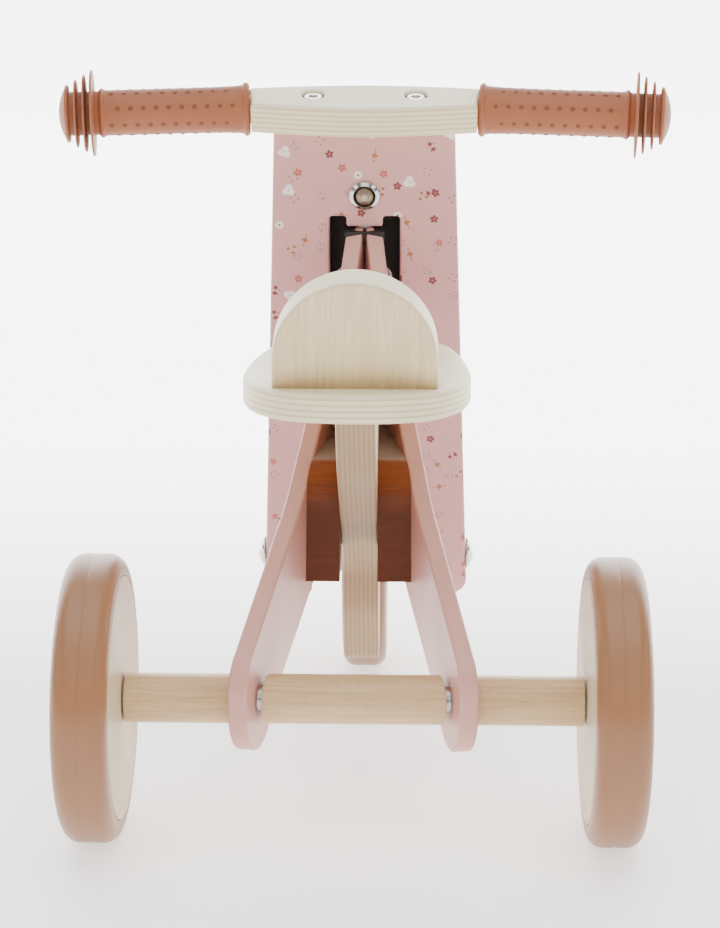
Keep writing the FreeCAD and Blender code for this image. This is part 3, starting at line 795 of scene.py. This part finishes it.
def make_fork_board():
    foot, top = BOARD_HALF_FOOT, BOARD_HALF_TOP
    arch = NOTCH_HALF - 0.5
    outline = [
        (-foot, BOARD_FOOT), (-NOTCH_HALF, BOARD_FOOT), (-NOTCH_HALF, NOTCH_TOP),
        (NOTCH_HALF, NOTCH_TOP), (NOTCH_HALF, BOARD_FOOT), (foot, BOARD_FOOT),
        (top, BOARD_TOP), (-top, BOARD_TOP),
    ]
    rim = rounded(outline, [11, 2, arch, arch, 2, 11, 3, 3], 5.0)
    shoulder = WINDOW_HIGH - TONGUE_DROP
    opening = [
        (-WINDOW_HALF, WINDOW_LOW), (WINDOW_HALF, WINDOW_LOW), (WINDOW_HALF, WINDOW_HIGH),
        (TONGUE_HALF, WINDOW_HIGH), (TONGUE_HALF, shoulder), (-TONGUE_HALF, shoulder),
        (-TONGUE_HALF, WINDOW_HIGH), (-WINDOW_HALF, WINDOW_HIGH),
    ]
    window = rounded(opening, [6, 6, 2, 2, 1.5, 1.5, 2, 2], 15.0)
    piece = board("fork_board_printed", [rim, window], BOARD_THICKNESS, 1.6,
                  "pink_print", "pink_edge")
    settle(piece, FORK_PLACE, "fork", "pink_print", "fork_board")


def make_handlebar():
    """Crossbar with a gentle bulge towards the rider and two recesses for sunk bolts."""
    half = GRIP_START
    lean = math.tan(GRIP_SWEEP)
    steps = 24
    outline = []
    for side, middle_back, end_back, power in ((1, 25.0, 17.4, 1.7), (-1, -17.3, -11.6, 2.0)):
        for number in range(steps + 1):
            part = side * (2 * number / steps - 1)
            back = middle_back + (end_back - middle_back) * abs(part) ** power
            reach = half - (back - 1.0) * lean
            outline.append(Vector((reach * part, back)))
    recesses = []
    for bolt_x in BAR_BOLTS:
        ring = []
        for number in range(32):
            turn = 2 * math.pi * number / 32
            rim = Vector((math.cos(turn), math.sin(turn))) * RECESS_RADIUS
            ring.append(Vector((bolt_x, 0)) + rim)
        recesses.append(ring)
    # local x across, y back, z down the board
    turn = Matrix(((1, 0, 0), (0, 0, -1), (0, 1, 0))).to_4x4()
    middle_up = BOARD_TOP + BAR_THICKNESS / 2
    solid = board("handlebar_bar", [outline, *recesses], BAR_THICKNESS, 2.2,
                  "cream_paint", "cream_plies")
    place = FORK_PLACE @ Matrix.Translation((0, middle_up * MM, 0)) @ turn
    solid.matrix_world = place
    pieces = [solid]
    for bolt_x in BAR_BOLTS:
        plug = lathe("plug", [(0, 0), (0, 6.62), (RECESS_FLOOR - 0.4, 6.62), (RECESS_FLOOR, 0)],
                     ["cream_paint"], 32)
        plug.matrix_world = along(fork_point(bolt_x, BOARD_TOP + 0.3, 0), STEER_UP)
        pieces.append(plug)
    for side in (-1, 1):
        tenon = lathe("tenon", [(-8, 0), (-8, 8.3), (100, 8.3), (100, 0)], ["cream_paint"], 32)
        tenon.matrix_world = grip_place(side)
        pieces.append(tenon)
    bpy.context.view_layer.update()
    piece = join(pieces)
    settle(piece, piece.matrix_world.copy(), "fork", "cream_paint", "handlebar")


def grip_point(side, distance):
    x = GRIP_START + distance * math.cos(GRIP_SWEEP)
    return fork_point(side * x, GRIP_UP, 1.0 + distance * math.sin(GRIP_SWEEP))


def grip_place(side):
    start = grip_point(side, 0)
    return along(start, grip_point(side, 10) - start)


def guard(low, thickness, radius, core, dish):
    """Thin guard disc, slightly dished, that tapers to a rounded rim."""
    rim = thickness * 0.32
    return [
        (low, core), (low + dish * 0.4, (core + radius) / 2), (low + dish, radius - rim),
        *arc((low + dish + rim, radius - rim), rim, 180, 0, 5)[1:-1],
        (low + dish + 2 * rim, radius - rim),
        (low + dish * 0.4 + thickness * 0.85, (core + radius) / 2), (low + thickness, core),
    ]


def make_grip(side, name):
    """Soft grip: rolled flange, flared body with bumps, three guard discs and a domed end."""
    length = GRIP_REACH / math.cos(GRIP_SWEEP)
    core = 12.9
    profile = [(0.2, 8.6), (0.2, 14.6), *arc((2.3, 14.0), 1.9, 160, 20, 8)]
    profile += [(4.6, 14.3), (7.5, 14.0), (17.0, 13.6), (34.0, 13.4), (84.5, 13.4)]
    profile += [(85.6, 13.6), *arc((87.6, 13.2), 1.4, 150, 30, 5), (89.4, 13.2), (89.8, core)]
    for low, thickness, radius in ((92.2, 2.2, 25.4), (96.8, 2.1, 22.7), (101.9, 2.0, 20.0)):
        profile += guard(low, thickness, radius, core, 0.4)
    cap = length - 6.5
    profile += [(cap, core), (cap + 0.1, 15.9), *arc((cap + 1.2, 15.8), 1.2, 150, 40, 4)]
    ball = (17.0 ** 2 + 5.2 ** 2) / (2 * 5.2)
    reach = math.degrees(math.asin(16.5 / ball))
    profile += [(h, max(0.0, r)) for h, r in arc((length - ball, 0), ball, reach, 0, 9)]
    body = lathe(name, profile, ["silicone"], 96)
    piece = join([body, bump_rows(name + "_bumps", side)])
    piece.data.transform(grip_place(side))
    settle(piece, Matrix.Identity(4), "fork", "silicone", name)


def bump_rows(name, side):
    """Rows of small raised dots along the grip, every second row half a step along."""
    mesh = bmesh.new()
    rows, count, pitch, radius = 8, 10, 7.5, 1.5
    for row in range(rows):
        turn = 2 * math.pi * row / rows - BUMP_TURN * side
        for number in range(count):
            height = 10.5 + pitch * (number + (0.5 if row % 2 else 0.0))
            flare = 13.4 + max(0.0, 18.0 - height) * 0.03
            place = Matrix.Rotation(turn, 4, "Z") @ Matrix.Translation(
                Vector((flare - 0.1, 0, height)) * MM)
            squash = Matrix.Diagonal((0.42, 1, 1, 1))
            bmesh.ops.create_icosphere(
                mesh, subdivisions=2, radius=radius * MM, matrix=place @ squash)
    # The dots take the darker bumps colour, which is painted shade.
    return finish_mesh(name, mesh, ["bumps"])


def make_bar_bolts():
    """Hexagon-socket bolt heads in the crossbar's recesses."""
    pieces = []
    for bolt_x in BAR_BOLTS:
        head = lathe("bolt", [
            (0, 0), (0, 5.2), (0.4, 5.6), (3.9, 5.6), (4.5, 5.0), (4.5, 2.9), (2.4, 2.6), (2.4, 0),
        ], ["chrome"], 48)
        head.matrix_world = along(fork_point(bolt_x, BOARD_TOP + RECESS_FLOOR + 0.3, 0), STEER_UP)
        pieces.append(head)
    bpy.context.view_layer.update()
    piece = join(pieces)
    settle(piece, piece.matrix_world.copy(), "fork", "chrome", "handlebar_bolts")


def make_lock_bolt():
    """Large domed bolt with a ringed crown and a small socket on the board's rear face."""
    profile = [(0, 0), (0, 8.9), (0.35, 9.2), (0.9, 9.25), (1.3, 9.0), (2.6, 7.2), (2.75, 6.9)]
    profile += [(2.5, 6.6), *arc((-1.9, 0), 6.7, 78, 22, 9), (4.35, 2.4)]
    profile += [(4.5, 2.3), (4.95, 2.1), (5.0, 1.7), (4.5, 1.3), (4.4, 0)]
    # The crown uses the dark dome metal, whose brown tint is a painted reflection.
    kinds = [0] * 6 + [1] * (len(profile) - 11) + [0] * 4    # ring, dome, button
    piece = lathe("pivot_lock_dome", profile, ["chrome", "dome"], 72, kinds)
    place = along(fork_point(0, LOCK_UP, BOARD_THICKNESS / 2), BACK)
    settle(piece, place, "fork", "chrome", "pivot_lock_bolt")


make_fork_board()
make_handlebar()
for grip_side, grip_name in ((-1, "grip_left"), (1, "grip_right")):
    make_grip(grip_side, grip_name)
make_bar_bolts()
make_lock_bolt()


# Boards of the frame ------------------------------------------------------
PLATE_FRONT = 18.0
PLATE_THICKNESS = 21.0
SEAT_TOP = span("seat", 2)[1]
SEAT_UNDER = span("seat", 2)[0]
HEAD_LOW, HEAD_HIGH, HEAD_SEAM = 165.0, 235.8, 6.5
LOBE_RADIUS = 26.5


def arm_place(side):
    turn = Matrix.Rotation(side * ARM_ANGLE, 4, "Z")
    return Matrix.Translation(Vector((side * ARM_HEAD[0], ARM_HEAD[1], 0)) * MM) @ turn @ UPRIGHT


def make_arm(side, node):
    """Flat painted arm on edge. Its head is trimmed where it meets the other arm."""
    tail = REAR_Y - LOBE_RADIUS
    sole = AXLE_Z - LOBE_RADIUS
    corners = [
        (fork_yz(HEAD_HIGH, 11), 1.5), ((58.0, 266.0), 12), ((-71.0, 159.0), 120),
        ((tail, 96.0), 22), ((tail, sole), LOBE_RADIUS), ((-152.0, sole), 30),
        ((-114.0, 74.5), 60), ((-45.0, 107.6), 150), ((30.0, 155.0), 60),
        (fork_yz(HEAD_LOW, 16), 4), (fork_yz(HEAD_LOW, HEAD_SEAM), 0),
        (fork_yz(HEAD_HIGH, HEAD_SEAM), 0),
    ]
    stretch = math.cos(ARM_ANGLE)
    outline = rounded_corners(
        [(((y - ARM_HEAD[1]) / stretch, z), radius) for (y, z), radius in corners])
    piece = board(node + "_painted", [outline], ARM_THICKNESS, 1.4, "pink_paint", "pink_edge")
    place = arm_place(side)
    trim(piece, place, (0, 0, 0), (-side, 0, 0))
    settle(piece, place, "frame", "pink_paint", node)


def make_seat_support():
    corners = [
        ((-156.0, SEAT_UNDER), 0), ((-121.0, 186.0), 40), ((-61.0, 146.0), 80),
        ((-8.0, 108.0), 20), ((-3.0, 80.0), 30), ((22.0, 41.5), 13), ((52.0, 41.5), 13),
        ((58.0, 82.0), 30), ((PLATE_FRONT, 146.0), 25), ((PLATE_FRONT, SEAT_UNDER), 0),
    ]
    outline = rounded_corners(corners)
    piece = board("seat_support_ply", [outline], PLATE_THICKNESS, 1.2, "birch_face", "birch_plies")
    settle(piece, UPRIGHT, "frame", "birch", "seat_support")


def smooth_ring(points, steps):
    """Closed Catmull-Rom curve through points."""
    ring = []
    count = len(points)
    for index in range(count):
        before, here, after, later = (Vector(points[(index + shift) % count])
                                      for shift in (-1, 0, 1, 2))
        for number in range(steps):
            t = number / steps
            ring.append(0.5 * (2 * here + (after - before) * t
                        + (2 * before - 5 * here + 4 * after - later) * t ** 2
                        + (3 * here - before - 3 * after + later) * t ** 3))
    return ring


def make_seat():
    right = [(33, -180), (52, -157), (59, -130), (60, -103), (58.4, -72), (55, -41),
             (49, -12), (41, 2), (25, 6.5)]
    left = [(-x, y) for x, y in reversed(right)]
    outline = smooth_ring([(0, -187), *right, (0, 7), *left], 7)
    piece = board("seat_board", [outline], SEAT_TOP - SEAT_UNDER, 2.6, "cream_paint",
                  "cream_plies", 5)
    place = Matrix.Translation((0, 0, (SEAT_TOP + SEAT_UNDER) / 2 * MM))
    settle(piece, place, "frame", "cream_paint", "seat")


def make_backrest():
    half, height, thickness, lean = 42.0, 56.5, 22.0, 14.0
    rear = -167.0
    straight = height - half
    outline = [Vector((-half, -6.0)), Vector((half, -6.0))]
    for number in range(41):
        turn = math.pi * number / 40
        outline.append(Vector((half * math.cos(turn), straight + half * math.sin(turn))))
    piece = board("backrest_block", [outline], thickness, 1.8, "veneer", "cream_plies", 4)
    turn = Matrix.Rotation(math.radians(90 + lean), 4, "X")
    shift = Matrix.Translation((0, 0, -thickness / 2 * MM))
    place = Matrix.Translation(Vector((0, rear, SEAT_TOP)) * MM) @ turn @ shift
    trim(piece, place, (0, 0, SEAT_TOP * MM), (0, 0, -1))
    settle(piece, place, "frame", "veneer", "backrest")


for arm_side, arm_node in ((-1, "arm_left"), (1, "arm_right")):
    make_arm(arm_side, arm_node)
make_seat_support()
make_seat()
make_backrest()


# CAD nodes that stay, with their own materials ----------------------------
KEPT = {
    "wedge_left": "brown_stain", "wedge_right": "brown_stain", "head_block": "black_plastic",
    "head_housing": "black_plastic", "housing_screws": "steel", "pivot_rod": "steel",
    "barrel_nuts": "steel", "pivot_washers": "nylon", "head_bolt": "chrome",
    "wedge_bolts": "chrome", "seat_screws": "steel", "backrest_screws": "steel",
    "rear_arm_nuts": "steel",
}
for kept_node, kept_material in KEPT.items():
    kept = frame["nodes"][kept_node]
    kept.data.materials.clear()
    kept.data.materials.append(M[kept_material].material)


# Stage, light and camera --------------------------------------------------
def make_stage():
    """Pale floor that sweeps up into a backdrop far behind the tricycle."""
    mesh = bmesh.new()
    width, near, bend, radius = 14.0, -8.0, 5.0, 3.0
    section = [(near, 0.0), (0.0, 0.0), (bend, 0.0)]
    for number in range(1, 17):
        turn = math.pi / 2 * number / 16
        section.append((bend + radius * math.sin(turn), radius * (1 - math.cos(turn))))
    section.append((bend + radius, 9.0))
    rows = [[mesh.verts.new((x, y, z)) for x in (-width, width)] for y, z in section]
    for first, second in zip(rows, rows[1:]):
        mesh.faces.new((first[0], first[1], second[1], second[0]))
    floor = finish_mesh("floor", mesh, ["floor"])


def area_light(name, place, target, size, power):
    data = bpy.data.lights.new(name, "AREA")
    data.shape = "RECTANGLE"
    data.size, data.size_y = size
    data.energy = power
    lamp = bpy.data.objects.new(name, data)
    bpy.context.scene.collection.objects.link(lamp)
    lamp.matrix_world = along(Vector(place), Vector(place) - Vector(target))


def make_lights():
    target = (0.0, 0.0, 0.2)
    area_light("top", (0.0, -0.5, 2.6), target, (2.6, 2.6), 56)
    area_light("left", (-2.4, -1.2, 1.5), target, (0.9, 2.2), 15)
    area_light("right", (2.4, -1.2, 1.5), target, (0.9, 2.2), 15)
    area_light("behind_camera", (0.1, -3.2, 2.0), target, (2.6, 1.6), 22)
    world = bpy.data.worlds.new("studio")
    world.use_nodes = True
    background = world.node_tree.nodes["Background"]
    background.inputs[0].default_value = (1.0, 1.0, 1.0, 1.0)
    background.inputs[1].default_value = 0.35
    bpy.context.scene.world = world


def make_camera():
    data = bpy.data.cameras.new("camera")
    data.sensor_width = 36.0
    data.lens = 86.497
    camera = bpy.data.objects.new("camera", data)
    bpy.context.scene.collection.objects.link(camera)
    pitch, yaw, roll = 11.424, 1.2, 0.15
    turn = (Matrix.Rotation(math.radians(yaw), 4, "Z")
            @ Matrix.Rotation(math.radians(90 - pitch), 4, "X")
            @ Matrix.Rotation(math.radians(roll), 4, "Z"))
    camera.matrix_world = Matrix.Translation((0.026, -1.2759, 0.425)) @ turn
    data.clip_start = 0.05
    data.clip_end = 60.0
    bpy.context.scene.camera = camera


make_stage()
make_lights()
make_camera()
